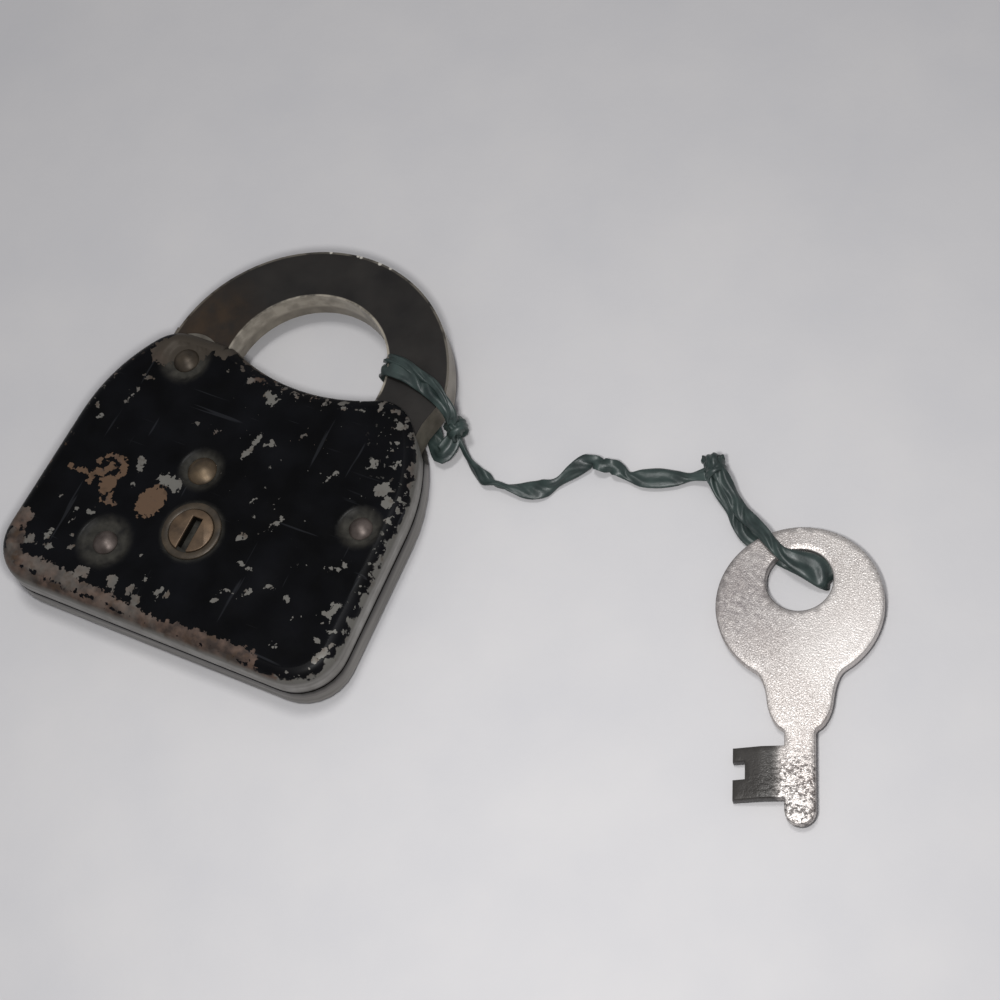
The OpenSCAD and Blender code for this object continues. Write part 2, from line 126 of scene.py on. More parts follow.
def strip(name, route, body, thick=0.34, crumple=0.3, lie_along=None, **declared):
    """A ribbon: each route row is x, y, z, width and roll in degrees.

    Its width lies flat on the table, or along the direction lie_along."""
    rows = smooth_route(route)
    centre, width, roll = rows[:, :3], rows[:, 3], np.radians(rows[:, 4])
    ahead = np.gradient(centre, axis=0)
    ahead /= np.linalg.norm(ahead, axis=1)[:, None]
    if lie_along is None:
        side = np.cross(np.tile([0.0, 0.0, 1.0], (len(rows), 1)), ahead)
        side[np.linalg.norm(side, axis=1) < 0.2] = [0.4, 0.9, 0.0]
        for k in range(1, len(side)):
            if side[k] @ side[k - 1] < 0:
                side[k] = -side[k]
    else:
        side = lie_along - ahead * (ahead @ lie_along)[:, None]
    side /= np.linalg.norm(side, axis=1)[:, None]
    up = np.cross(ahead, side)
    across = side * np.cos(roll)[:, None] + up * np.sin(roll)[:, None]
    over = np.cross(ahead, across)
    # The section is a thin lens whose folds wander along the length
    n, vertices = SECTION_POINTS, []
    for c, w, a, o, s in zip(centre, width, across, over, lengths_along(centre)):
        for k in range(n):
            angle = 2 * math.pi * k / n
            u = 0.5 * math.cos(angle)
            fold = crumple * math.cos(9 * u + 1.3 * s + 2 * math.sin(0.9 * s)) * (1 - 4 * u * u)
            vertices.append(c + a * w * u + o * (fold + thick * math.sin(angle)))
    faces = []
    for i in range(len(rows) - 1):
        for k in range(n):
            m = (k + 1) % n
            faces.append((i * n + k, i * n + m, (i + 1) * n + m, (i + 1) * n + k))
    faces += [tuple(range(n - 1, -1, -1)), tuple((len(rows) - 1) * n + k for k in range(n))]
    return new_piece(name, vertices, faces, body, slot="tie_plastic", **declared), centre


# %% The tie from the shackle's knot to the key's knot
# Columns: x, y, z, width, roll
TIE_ROUTE = [
    [22.5, 20.6, 2.6, 1.5, 60], [23.5, 19.6, 2.0, 1.1, 70], [24.8, 18.5, 1.5, 1.2, 80],
    [26.2, 17.5, 1.2, 1.6, 60], [28.1, 16.6, 1.1, 1.9, 30], [30.0, 16.4, 1.0, 1.2, -70],
    [32.0, 16.6, 0.9, 1.6, -30], [33.9, 17.0, 0.8, 2.4, 0], [35.6, 17.8, 0.8, 2.5, 8],
    [37.2, 19.2, 1.1, 1.5, 70], [38.4, 21.2, 1.15, 1.9, 40], [39.4, 22.9, 1.2, 2.1, 20],
    [40.3, 23.5, 1.4, 1.6, 60], [41.5, 23.2, 1.5, 2.0, -20], [42.7, 23.5, 1.5, 1.8, 50],
    [43.9, 23.5, 1.3, 2.1, -15], [45.3, 23.2, 0.9, 1.2, 10],
    [47.0, 23.6, 0.8, 2.5, 0], [49.0, 24.3, 0.8, 2.8, 0], [51.0, 25.0, 0.8, 2.2, 0],
    [52.8, 25.7, 1.1, 1.1, 10], [54.7, 26.6, 1.6, 2.0, 0]]
tie, tie_line = strip("tie_ribbon", TIE_ROUTE, "shackle", 0.3, 0.16, stands_for=["tie"])

# %% [markdown]
# The loops and knots are more of the same strip. A knot is a few short turns wound on top
# of one another, each a little different, so that it looks pulled tight by hand.

# %% Loops round the leg and through the key
LEG_LOOP = [
    [22.4, 20.8, 4.6, 1.6, 10], [21.8, 21.5, 6.2, 1.8, 5], [20.4, 22.3, 7.0, 2.0, 0],
    [17.8, 23.4, 7.1, 2.3, -4], [15.0, 24.2, 7.15, 2.6, 4], [12.8, 24.5, 7.05, 2.9, 6],
    [11.2, 24.7, 6.3, 3.0, 0], [10.8, 24.8, 4.6, 2.9, 0], [11.2, 24.8, 2.6, 2.6, 0],
    [12.9, 24.2, 1.9, 2.4, 0], [15.8, 22.6, 1.85, 2.2, 0], [18.6, 20.6, 1.8, 2.2, 0],
    [20.6, 18.2, 1.7, 2.2, 10], [21.7, 17.3, 1.9, 2.3, 25], [22.3, 18.6, 2.4, 2.4, 20],
    [22.6, 20.2, 2.8, 1.8, 10]]
leg_loop, _ = strip("tie_leg_loop", LEG_LOOP, "shackle", stands_for=["tie_loop_shackle"])
LEG_STRAND = [
    [22.2, 21.2, 5.2, 1.2, 20], [20.8, 22.6, 7.2, 1.0, 30], [18.6, 24.0, 7.5, 1.2, 20],
    [16.0, 24.6, 7.6, 1.3, -10], [13.4, 25.4, 7.5, 1.4, 10], [11.2, 25.6, 6.8, 1.4, 0],
    [10.6, 25.4, 5.2, 1.4, 0], [11.0, 25.2, 3.4, 1.2, 0]]
leg_strand, _ = strip("tie_leg_strand", LEG_STRAND, "shackle")
KEY_OVER = [
    [55.6, 27.2, 2.9, 1.9, 0], [57.0, 26.4, 2.5, 1.9, 20], [58.8, 24.8, 2.0, 1.8, -10],
    [60.8, 23.2, 1.9, 1.9, 10], [62.8, 22.2, 2.2, 1.8, 20], [64.4, 21.3, 2.6, 1.7, 10],
    [66.2, 20.2, 2.75, 1.6, 0], [67.9, 19.4, 2.7, 1.7, 0], [69.6, 19.3, 2.4, 2.8, -5],
    [71.6, 19.3, 2.0, 3.6, -5], [73.4, 19.0, 1.5, 3.4, 0], [74.2, 18.8, 0.9, 2.8, 0],
    [73.2, 18.9, 0.45, 2.6, 0], [70.5, 19.4, 0.4, 2.4, 0], [67.0, 19.8, 0.4, 2.2, 0],
    [64.0, 20.4, 0.4, 2.0, 0]]
key_over, _ = strip("tie_key_loop", KEY_OVER, "shackle", thick=0.4, stands_for=["tie_loop_key"])
KEY_UNDER = [
    [55.2, 26.6, 2.2, 1.6, 0], [56.4, 25.6, 1.4, 1.8, -20], [57.9, 24.6, 1.1, 1.9, 10],
    [59.6, 23.4, 1.1, 2.0, 20], [61.2, 21.8, 1.0, 2.1, -10], [62.6, 20.9, 0.8, 2.2, 0],
    [64.2, 20.4, 0.5, 2.2, 0], [66.4, 19.8, 0.35, 2.2, 0]]
key_under, _ = strip("tie_key_strand", KEY_UNDER, "shackle")


# %% Knots
STEPS_PER_TURN = 8


def winding(name, centre, axis, radii, turns, rise, width, seed, stands_for=()):
    """A strip wound round an axis, with hand-made unevenness."""
    rng = np.random.default_rng(seed)
    axis = np.array(axis, float) / np.linalg.norm(axis)
    first = np.cross(axis, [0.3, 0.2, 1.0])
    first /= np.linalg.norm(first)
    second = np.cross(axis, first)
    rows = []
    for k in range(int(turns * STEPS_PER_TURN) + 1):
        angle = k * 2 * math.pi / STEPS_PER_TURN
        share = k / (turns * STEPS_PER_TURN) - 0.5
        out = first * math.cos(angle) * radii[0] + second * math.sin(angle) * radii[1]
        at = np.array(centre) + out * rng.uniform(0.94, 1.05) + axis * rise * share
        rows.append([*at, width * rng.uniform(0.85, 1.15), rng.uniform(-14, 14)])
    piece, _ = strip(name, rows, "shackle", 0.3, 0.14, axis, stands_for=stands_for)
    return piece


knot_a = winding("knot_shackle_wrap", (22.5, 20.9, 3.2), (0.8, -0.6, 0.1), (1.1, 1.2), 2.2,
                 2.0, 1.3, 3, ["tie_knot_shackle"])
knot_a2 = winding("knot_shackle_turn", (22.4, 21.0, 3.4), (0.5, 0.8, 0.3), (0.9, 1.3), 1.4,
                  1.0, 1.3, 5)
knot_b = winding("knot_key_wrap", (55.5, 27.4, 2.0), (0.6, -0.8, 0.1), (1.1, 1.2), 2.6, 3.0,
                 1.4, 8, ["tie_knot_key"])
knot_b2 = winding("knot_key_turn", (55.3, 27.8, 2.5), (0.9, 0.4, 0.2), (1.0, 1.1), 1.5, 1.0,
                  1.5, 11)
tie_pieces = [tie, leg_loop, leg_strand, key_over, key_under, knot_a, knot_a2, knot_b, knot_b2]
print(len(tie_pieces), "pieces of ribbon")

# %% [markdown]
# The case is two pans pressed from thin sheet. The upper one is drawn here as one skin: its
# wall and rounded edge are rings that follow the outline, and its face is a fine triangulated
# grid, so that the dishes round the rivets can be real dents. Every point also stores how far
# it lies inside worn paint, in millimetres. The material turns that into crisp chips.

# %% Sizes of the case, taken from the CAD model
shell_low, shell_high = (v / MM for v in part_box("rear_shell"))
CASE_T = shell_high.z
BOTTOM_Y, TOP_Y = shell_low.y, shell_high.y
SEAM_Z = CASE_T / 2
SHEET_T, BEND_R = 0.9, 1.8
LEAN = math.radians(2.3)
CORNER_R, SHOULDER_R, LOBE_R, NECK_R, NECK_D, NECK_X = 6.2, 24, 5.5, 27, 2.6, 2.5
CASE_HALF_W = 25.0
PIVOT, CORNER = (-13.7, TOP_Y - 4.2), (-10.7, BOTTOM_Y + 8.4)
STUD_LEFT, STUD_RIGHT, DRUM = (-3.6, 2.0), (19.8, 2.0), (-0.4, -6.1)
FULL_TURN = 2 * math.pi
print("case", round(shell_high.x - shell_low.x, 1), round(TOP_Y - BOTTOM_Y, 1), CASE_T)


# %% The outline of the case
def arc_points(centre, r, a0, a1, n):
    angles = np.linspace(a0, a1, n)
    return [(centre[0] + r * math.cos(a), centre[1] + r * math.sin(a)) for a in angles]


def circle(centre, r, n=48):
    return arc_points(centre, r, 0, FULL_TURN, n + 1)[:-1]


def even_loop(points, step):
    """Points on a closed line, evenly spaced and lightly smoothed."""
    p = np.array(points, float)
    closed = np.vstack([p, p[:1]])
    along = lengths_along(closed)
    even = np.linspace(0, along[-1], int(along[-1] / step), endpoint=False)
    loop = np.column_stack([np.interp(even, along, closed[:, k]) for k in (0, 1)])
    for _ in range(3):
        loop = 0.5 * loop + 0.25 * (np.roll(loop, 1, 0) + np.roll(loop, -1, 0))
    return loop


def loop_normals(loop):
    ahead = np.roll(loop, -1, 0) - np.roll(loop, 1, 0)
    ahead /= np.linalg.norm(ahead, axis=1)[:, None]
    return np.column_stack([ahead[:, 1], -ahead[:, 0]])


def case_loop():
    side = CASE_HALF_W * math.cos(LEAN) + BOTTOM_Y * math.sin(LEAN)
    corner = ((side - CORNER_R - (BOTTOM_Y + CORNER_R) * math.sin(LEAN)) / math.cos(LEAN),
              BOTTOM_Y + CORNER_R)
    y = TOP_Y - 15.4
    shoulder = ((side - y * math.sin(LEAN)) / math.cos(LEAN) - SHOULDER_R * math.cos(LEAN),
                y - SHOULDER_R * math.sin(LEAN))
    rise = TOP_Y - LOBE_R - shoulder[1]
    lobe = (shoulder[0] + math.sqrt((SHOULDER_R - LOBE_R) ** 2 - rise**2), TOP_Y - LOBE_R)
    meet = math.atan2(rise, lobe[0] - shoulder[0])
    right = (arc_points(corner, CORNER_R, -math.pi / 2, LEAN, 20)
             + arc_points(shoulder, SHOULDER_R, LEAN, meet, 24)
             + arc_points(lobe, LOBE_R, meet, math.pi / 2, 14)[1:])
    hollow_y = TOP_Y - NECK_D + NECK_R
    half = math.acos((hollow_y - TOP_Y) / NECK_R)
    hollow = arc_points((NECK_X, hollow_y), NECK_R, half - math.pi / 2, -half - math.pi / 2, 30)
    return even_loop(right + hollow + [(-x, y) for x, y in reversed(right)], 0.45)


CASE_LOOP = case_loop()
CASE_OUT = loop_normals(CASE_LOOP)
print("outline", len(CASE_LOOP), "points")

# %% [markdown]
# Worn paint is described by shapes on the face: small blobs, strokes along the edges and
# bare lobes. Each gives a distance, positive inside, and the largest one wins. A second
# value says how brown the bare spot is, since some show fresh steel and some show rust.

# %% Worn places on the painted face
# Blobs: x, y, half length, half width, direction in degrees, brownness
CHIPS = [
    (-17.2, 11.5, 0.8, 0.5, 20, .3), (-17.8, 9.6, .35, .3, 0, .2), (-18.1, 7.9, .35, .6, 0, .2),
    (-21.7, 5.6, .3, .25, 0, .2), (-20.3, 4.2, .4, .4, 0, .1), (-17.3, 3.5, .3, .3, 0, .1),
    (-19.7, -7.8, .4, .35, 0, .1), (-16.6, -8.5, .4, .3, 0, .1), (-14.5, -8.2, .65, .5, 30, .1),
    (-16.3, -10.1, .35, .35, 0, .1), (-15.3, -12.1, .35, .3, 0, .1), (-14.6, -13.6, .4, .4, 0, .2),
    (-11.6, .2, .7, 1.2, 20, .1), (-7.5, -1.0, 1.0, .9, 30, .1), (-5.9, -1.0, 1.1, 1.2, 0, .1),
    (-11.3, -3.0, .45, .45, 0, .1), (1.1, 7.1, .5, 2.0, -12, .1), (3.4, 8.4, .8, .6, 60, .1),
    (.1, 14.2, 1.3, .8, -35, .1), (2.9, 15.8, .9, .4, 20, .2), (1.0, 16.0, .5, .6, 0, .2),
    (-5.5, 16.8, .8, .4, 0, .3), (-7.3, 15.7, .4, .45, 0, .2), (-3.6, 15.5, .5, .5, 0, .2),
    (-2.6, 16.1, .7, .45, 0, .5), (5.2, 16.5, .5, .35, 0, .3), (7.3, 16.3, .5, .6, 0, .2),
    (9.7, 16.7, .6, .8, 20, .1), (12.2, 16.7, .5, .5, 0, .1), (14.3, 18.3, .5, 1.0, 0, .2),
    (16.5, 18.1, .8, .5, 0, .2), (15.4, 17.4, .3, .3, 0, .1), (18.2, 16.5, .7, .9, -20, .1),
    (19.0, 14.0, .4, .4, 0, .1), (20.1, 16.2, .5, .8, 0, .2), (21.1, 14.7, .5, .7, 0, .2),
    (17.3, 10.3, .55, 1.0, -20, .1), (20.2, 11.2, .6, .6, 0, .1), (22.2, 11.7, .7, 1.0, 0, .2),
    (20.1, 7.6, 1.1, 1.0, 30, .1), (21.4, 6.3, .8, .9, 0, .1), (22.7, 7.5, .6, .4, 0, .1),
    (18.4, 5.8, .35, .35, 0, .1), (23.0, 6.0, .5, .6, 0, .1), (22.9, 4.0, .5, .4, 0, .1),
    (9.4, -1.2, .4, 1.4, -22, .1), (5.1, .5, .3, .8, -20, .1), (6.3, -1.6, .35, .4, 0, .1),
    (6.0, -4.4, .6, .55, 0, .1), (10.0, -6.2, .45, .3, 0, .1), (8.3, -7.8, .8, .35, -10, .1),
    (12.9, 6.8, .35, .85, -20, .1), (13.8, 7.5, .25, .25, 0, .1), (4.9, 5.2, .25, .3, 0, .1),
    (6.6, 10.7, .5, .3, 60, .3), (-4.5, 7.5, .45, .3, 0, .3), (-7.3, 7.7, .5, .25, 30, .2),
    (14.9, -5.4, .5, .3, 30, .1), (15.8, -5.2, .2, .4, 0, .1), (19.4, -4.0, .9, .35, 20, .1),
    (20.5, -3.0, .6, .45, 30, .1), (12.7, -9.1, .5, .3, 0, .1), (10.6, -10.8, .5, .4, 30, .1),
    (15.6, -9.7, .45, .45, 0, .1), (8.0, -11.5, .9, .35, 0, .1), (9.6, -12.1, .3, .3, 0, .1),
    (7.1, -13.1, .35, .9, -20, .1), (21.3, -9.8, .9, .45, 25, .1), (21.8, -8.7, .6, .8, -20, .1),
    (18.1, -11.7, .5, .3, 0, .1), (21.6, -10.9, .35, .3, 0, .1), (-5.0, -11.3, .35, .3, 0, .1),
    (-2.7, -13.8, .3, .4, 0, .1), (-4.0, -15.7, .5, .9, -15, .2), (-2.5, -16.9, .8, .7, 0, .2),
    (-.3, -14.8, .4, .8, -15, .1), (.7, -14.9, .3, .7, -10, .1), (-6.8, -15.9, .8, .9, 0, .2),
    (-11.3, -16.2, 1.3, .9, 20, .2), (-18.4, -13.4, .5, 1.0, -20, .1),
    (-17.4, -14.6, .9, .5, 30, .1),
    (-20.4, -14.6, .7, .7, 0, .2), (16.9, -16.1, .4, .3, 0, .1), (23.0, -11.6, .6, .4, 0, .1),
    (21.9, -13.5, .4, .4, 0, .1), (-7.7, -4.2, 1.9, 2.4, -20, .95), (-7.2, -5.9, 1.0, .7, 30, .9),
    (-14.3, -4.3, 1.4, 1.2, 10, .9), (-13.3, -5.6, .6, 1.0, 0, .85), (-18.7, 8.9, .25, .2, 0, .1),
    (-15.4, -1.9, .9, .7, 40, .9), (-16.5, -2.9, .8, .6, 0, .85), (-15.1, -3.4, 1.1, .7, 20, .9)]
# Strokes: brownness, half width, then the points they run through
STROKES = [
    (.85, .38, [(-20.6, -3.4), (-18.8, -3.6), (-17.3, -3.1), (-15.6, -3.2)]),
    (.85, .45, [(-17.3, -1.5), (-16.3, -.3), (-14.4, -.3), (-13.3, -1.6), (-13.6, -3.2)]),
    (.9, .5, [(-17.6, -3.5), (-17.0, -4.3)]), (.8, .35, [(-14.6, -6.2), (-12.2, -6.2)]),
    (.7, .35, [(-16.3, -2.6), (-15.4, -1.8)]),
    (.3, 1.1, [(-19.5, -17.3), (-15.8, -17.4), (-12.0, -17.9)]),
    (.34, .8, [(-12.0, -18.0), (-7.0, -17.9), (-3.0, -18.4), (2.0, -18.9)]),
    (.45, .9, [(2.0, -18.8), (6.0, -18.4), (10.0, -18.3), (15.0, -18.2)]),
    (.3, .9, [(-22.9, -14.4), (-21.6, -16.6), (-19.0, -17.6)]),
    (.15, .45, [(22.6, -16.0), (23.6, -13.5)]),
    (.35, 1.1, [(-22.5, -17.6), (-19.0, -19.4), (-10.0, -19.8), (2.0, -19.9), (13.0, -19.8)])]
# Bare lobes: x, y, radius, brownness
BARE = [(-14.3, 17.6, 3.0, .45), (-12.4, 18.6, 2.2, .3), (-17.0, 15.6, 2.0, .4),
        (-9.4, 18.6, 1.5, .3),
        (-23.2, -12.2, 1.7, .35), (-22.2, -15.0, 1.5, .35), (-20.2, -17.6, 1.2, .5)]


# %% From worn places to a depth inside them
FAR_OUTSIDE, PLAIN_BROWN = -9.0, 0.3


def stroke_distance(p, points):
    best = np.full(len(p), 99.0)
    for a, b in zip(np.array(points[:-1]), np.array(points[1:])):
        t = np.clip(((p - a) @ (b - a)) / ((b - a) @ (b - a)), 0, 1)
        best = np.minimum(best, np.linalg.norm(p - a - t[:, None] * (b - a), axis=1))
    return best


def distance_to(centre, xy):
    return np.hypot(xy[:, 0] - centre[0], xy[:, 1] - centre[1])


def wear_on_face(xy):
    """How far each point is inside worn paint, and how brown the nearest worn spot is."""
    wear, brown = np.full(len(xy), FAR_OUTSIDE), np.full(len(xy), PLAIN_BROWN)

    def add(distance, brownness):
        nearer = distance > wear
        wear[nearer] = distance[nearer]
        brown[nearer] = brownness

    for x, y, a, b, degrees, brownness in CHIPS:
        c, s = math.cos(math.radians(degrees)), math.sin(math.radians(degrees))
        dx, dy = xy[:, 0] - x, xy[:, 1] - y
        u, v = (dx * c + dy * s) / a, (dy * c - dx * s) / b
        add((1 - np.hypot(u, v)) * min(a, b), brownness)
    for brownness, half, points in STROKES:
        add(half - stroke_distance(xy, points), brownness)
    for x, y, r, brownness in BARE:
        add(r - distance_to((x, y), xy), brownness)
    return wear, brown


# %% Dishes round the rivets and the pan's cross-section
# Dish: centre, radius, depth, how much the paint inside is rubbed away
DISHES = [(PIVOT, 3.45, 0.42, 1.0), (CORNER, 3.7, 0.42, 0.9), (STUD_LEFT, 3.0, 0.4, 0.85),
          (STUD_RIGHT, 2.9, 0.4, 0.95)]
WELL_R, WELL_DEPTH = 2.5, 0.85  # the hole in which the disc turns
DISC_RING_R = 4.5
WALL_H = CASE_T - BEND_R - SEAM_Z
SECTION_L = WALL_H + BEND_R * math.pi / 2


def soft_step(x, low, high):
    t = np.clip((x - low) / (high - low), 0, 1)
    return t * t * (3 - 2 * t)


def face_depth(xy):
    depth = np.zeros(len(xy))
    for centre, r, deep, _ in DISHES:
        depth = np.maximum(depth, deep * soft_step(r - distance_to(centre, xy), 0, 0.9))
    well = soft_step(WELL_R - distance_to(DRUM, xy), 0, 0.15)
    return np.maximum(depth, WELL_DEPTH * well)


def rubbed(xy):
    """Smudged bare rings round the rivets and the disc, from 0 to 1."""
    out = np.zeros(len(xy))
    for centre, r, _, much in DISHES:
        out = np.maximum(out, much * soft_step(r * 1.12 - distance_to(centre, xy), 0, r * 0.45))
    return np.maximum(out, 0.9 * soft_step(DISC_RING_R - distance_to(DRUM, xy), 0, 0.9))


def section(t):
    """Inset and height at share t of the way from the seam to the flat face."""
    run = t * SECTION_L
    angle = np.clip((run - WALL_H) / BEND_R, 0, math.pi / 2)
    inset = BEND_R * (1 - np.cos(angle))
    height = np.where(run < WALL_H, SEAM_Z + run, CASE_T - BEND_R + BEND_R * np.sin(angle))
    return inset, height


# %% Openings in the wall for the shackle's legs
NOTCH_RIGHT, NOTCH_LEFT, FLARE = PIVOT[1] - 0.6, PIVOT[1] - 4.8, 4.2
LEG_RIGHT_X, LEG_LEFT_X = 11.2, -9.3
FLARE_POWER = 2.2  # how square the flare's curve is


def mouth(loop):
    """Where each wall starts, as a share of the section: higher where a leg goes through."""
    start = np.zeros(len(loop))
    for k, (x, y) in enumerate(loop):
        low = NOTCH_RIGHT if x > LEG_RIGHT_X else NOTCH_LEFT if x < LEG_LEFT_X else None
        if low is None or y <= low:
            continue
        s = min(1.0, ((y - low) / FLARE) ** (1 / FLARE_POWER))
        up = (SEAM_Z - SHEET_T) * (1 - (1 - s) ** FLARE_POWER) ** 0.9
        run = up if up < WALL_H else WALL_H + BEND_R * math.asin(min(1, (up - WALL_H) / BEND_R))
        start[k] = run / SECTION_L
    return start


# %% Helper that fills a flat region with an even grid of triangles
GRID_BATCH, EDGE_BATCH = 4000, 150


def inside_loop(points, loop):
    x, y = points[:, 0], points[:, 1]
    inside = np.zeros(len(points), bool)
    for (x0, y0), (x1, y1) in zip(loop, np.roll(loop, -1, 0)):
        cross = (y0 > y) != (y1 > y)
        with np.errstate(divide="ignore", invalid="ignore"):
            inside ^= cross & (x < (x1 - x0) * (y - y0) / (y1 - y0) + x0)
    return inside


def filled(loop, spacing, holes=(), extra=()):
    """Vertices and triangles of the region inside loop and outside the holes."""
    low, high = loop.min(0), loop.max(0)
    gx, gy = np.meshgrid(np.arange(low[0], high[0], spacing), np.arange(low[1], high[1], spacing))
    gx[1::2] += spacing / 2
    grid = np.column_stack([gx.ravel(), gy.ravel()])
    grid = grid[inside_loop(grid, loop)]
    for hole in holes:
        grid = grid[~inside_loop(grid, hole)]
    loops = [loop, *holes]
    edge = np.vstack([*loops, *extra])
    # Grid points too near an edge are dropped, a batch at a time to save memory
    for start in range(0, len(grid), GRID_BATCH):
        part = grid[start : start + GRID_BATCH]
        near = np.min([np.min(np.linalg.norm(part[:, None] - edge[None, k : k + EDGE_BATCH],
                                             axis=2), 1)
                       for k in range(0, len(edge), EDGE_BATCH)], axis=0)
        part[near < spacing * 0.55] = np.nan
    grid = grid[~np.isnan(grid[:, 0])]
    borders, at = [], 0
    for one in loops:
        borders += [(at + k, at + (k + 1) % len(one)) for k in range(len(one))]
        at += len(one)
    every = [Vector(p) for p in np.vstack([edge, grid])]
    found = geometry.delaunay_2d_cdt(every, borders, [], 1, 1e-5)
    points = np.array([tuple(v) for v in found[0]])
    faces = np.array([f for f in found[2]])
    middle = points[faces].mean(1)
    keep = np.ones(len(faces), bool)
    for hole in holes:
        keep &= ~inside_loop(middle, hole)
    origin = [next(iter(o), -1) for o in found[3]]
    return points, faces[keep], origin


# %% A number stored on each point, for the materials to read
def store(piece, label, values):
    attribute = piece.data.attributes.new(label, "FLOAT", "POINT")
    attribute.data.foreach_set("value", values.astype(np.float32))


# %% The upper pan
WALL_RINGS, GRID_SPACING = 22, 0.34
LIP_IN, LIP_H = 0.28, 0.35  # the wall's lower edge turns in a little
WAVE = 0.035
FACE_SHARE = 0.02  # below this share of the wall, a point belongs to the face


def upper_pan(name, node):
    start = mouth(CASE_LOOP)
    n = len(CASE_LOOP)
    vertices, walls, wall_share = [], [], []
    for k in range(WALL_RINGS):
        t = start + (1 - start) * (k / (WALL_RINGS - 1)) ** 1.1
        inset, height = section(t)
        lip = LIP_IN * np.clip(1 - (t - start) * SECTION_L / LIP_H, 0, 1) ** 2
        ring = CASE_LOOP - CASE_OUT * (inset + lip)[:, None]
        vertices.append(np.column_stack([ring, height]))
        wall_share.append(1 - t)
    for k in range(WALL_RINGS - 1):
        for i in range(n):
            j = (i + 1) % n
            walls.append((k * n + i, k * n + j, (k + 1) * n + j, (k + 1) * n + i))
    rim = vertices[-1][:, :2]
    circles = [circle(c, r * f) for c, r, _, _ in DISHES for f in (1.0, 0.87, 0.74)]
    circles += [circle(DRUM, r) for r in (WELL_R, WELL_R - 0.15)]
    points, triangles, origin = filled(rim, GRID_SPACING, extra=[np.array(c) for c in circles])
    stack = np.vstack(vertices)
    flat, index = [], []
    for k, p in enumerate(points):
        if 0 <= origin[k] < n:
            index.append((WALL_RINGS - 1) * n + origin[k])
        else:
            index.append(len(stack) + len(flat))
            flat.append((p[0], p[1], CASE_T))
    flat = np.array(flat)
    flat[:, 2] -= face_depth(flat[:, :2])
    every = np.vstack([stack, flat])
    share = np.r_[np.concatenate(wall_share), np.zeros(len(flat))]
    # Old pressed sheet is never quite flat
    x, y = every[:, 0], every[:, 1]
    waves = WAVE * (np.sin(0.31 * x + 1) * np.sin(0.27 * y + 2) + 0.5 * np.sin(0.7 * x - 0.5 * y))
    to_rim = np.array([np.hypot(*(rim - p).T).min() for p in every[:, :2]])
    every[:, 2] -= (waves + 0.03) * soft_step(to_rim, 0.2, 5.0) * (share <= FACE_SHARE)
    wear, brown = wear_on_face(every[:, :2])
    rub = rubbed(every[:, :2])
    faces = walls + [tuple(index[v] for v in f) for f in triangles]
    piece = new_piece(name, every, faces, "case", [node], "black_paint")
    for label, values in (("wear", wear), ("brown", brown), ("rub", rub), ("wall", share)):
        store(piece, label, values)
    solid = piece.modifiers.new("sheet", "SOLIDIFY")
    solid.thickness = (SHEET_T - 0.1) * MM
    solid.offset = -1
    print(name, len(faces), "faces")
    return piece


rear = upper_pan("case_upper_pan", "rear_shell")

# %% [markdown]
# The lower pan, the shackle, the rivets and the disc have the right shape in CAD already,
# but every CAD edge is perfectly sharp. Real worn steel catches the light along its edges,
# so those parts are redrawn from their own CAD mesh with a small bevel.

# %% Softened copies of CAD parts
FLAT_ANGLE, SHARP_ANGLE = math.radians(0.5), math.radians(38)


def softened(node, width, body, segments=2, min_angle=25):
    """The node's mesh with its sharp edges bevelled."""
    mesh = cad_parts[node].data
    work = bmesh.new()
    work.from_mesh(mesh)
    bmesh.ops.remove_doubles(work, verts=work.verts, dist=2e-7)
    bmesh.ops.dissolve_limit(work, angle_limit=FLAT_ANGLE, verts=work.verts, edges=work.edges)
    sharp = [e for e in work.edges if len(e.link_faces) == 2
             and e.calc_face_angle(0) > math.radians(min_angle)]
    bmesh.ops.bevel(work, geom=sharp, offset=width * MM, offset_type="OFFSET",
                    segments=segments, affect="EDGES", profile=0.5, clamp_overlap=True)
    bmesh.ops.triangulate(work, faces=work.faces)
    made = bpy.data.meshes.new(f"{node}_soft")
    work.to_mesh(made)
    work.free()
    made.shade_smooth()
    made.set_sharp_from_angle(angle=SHARP_ANGLE)
    piece = bpy.data.objects.new(f"{node}_soft", made)
    scene.collection.objects.link(piece)
    # Large flat faces keep their own direction, so light doesn't smear across them
    piece.modifiers.new("flat_faces", "WEIGHTED_NORMAL").keep_sharp = True
    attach(piece, body)
    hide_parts(node)
    return piece


front = softened("front_shell", 0.12, "case", 1, 40)
shackle = softened("shackle", 0.22, "shackle", 2, 30)
heads = {n: softened(n, 0.12, "case") for n, s in (
    ("pivot_rivet", "worn_steel"), ("corner_rivet", "worn_steel"),
    ("bolt_stud_left", "brassy_steel"), ("bolt_stud_right", "worn_steel"))}
disc = softened("key_drum", 0.1, "drum")
collar = softened("drum_collar", 0.14, "case")
for piece in (front, shackle, disc, collar, *heads.values()):
    print(piece.name, len(piece.data.polygons), "faces")

# %% [markdown]
# The key was stamped from nickelled sheet: a round bow that flows into a wide neck, a short
# stem, and a bit that was bent down along a line. Its outline is drawn from arcs, filled with
# a grid, and given rounded edges by pulling the top and bottom faces in a little.

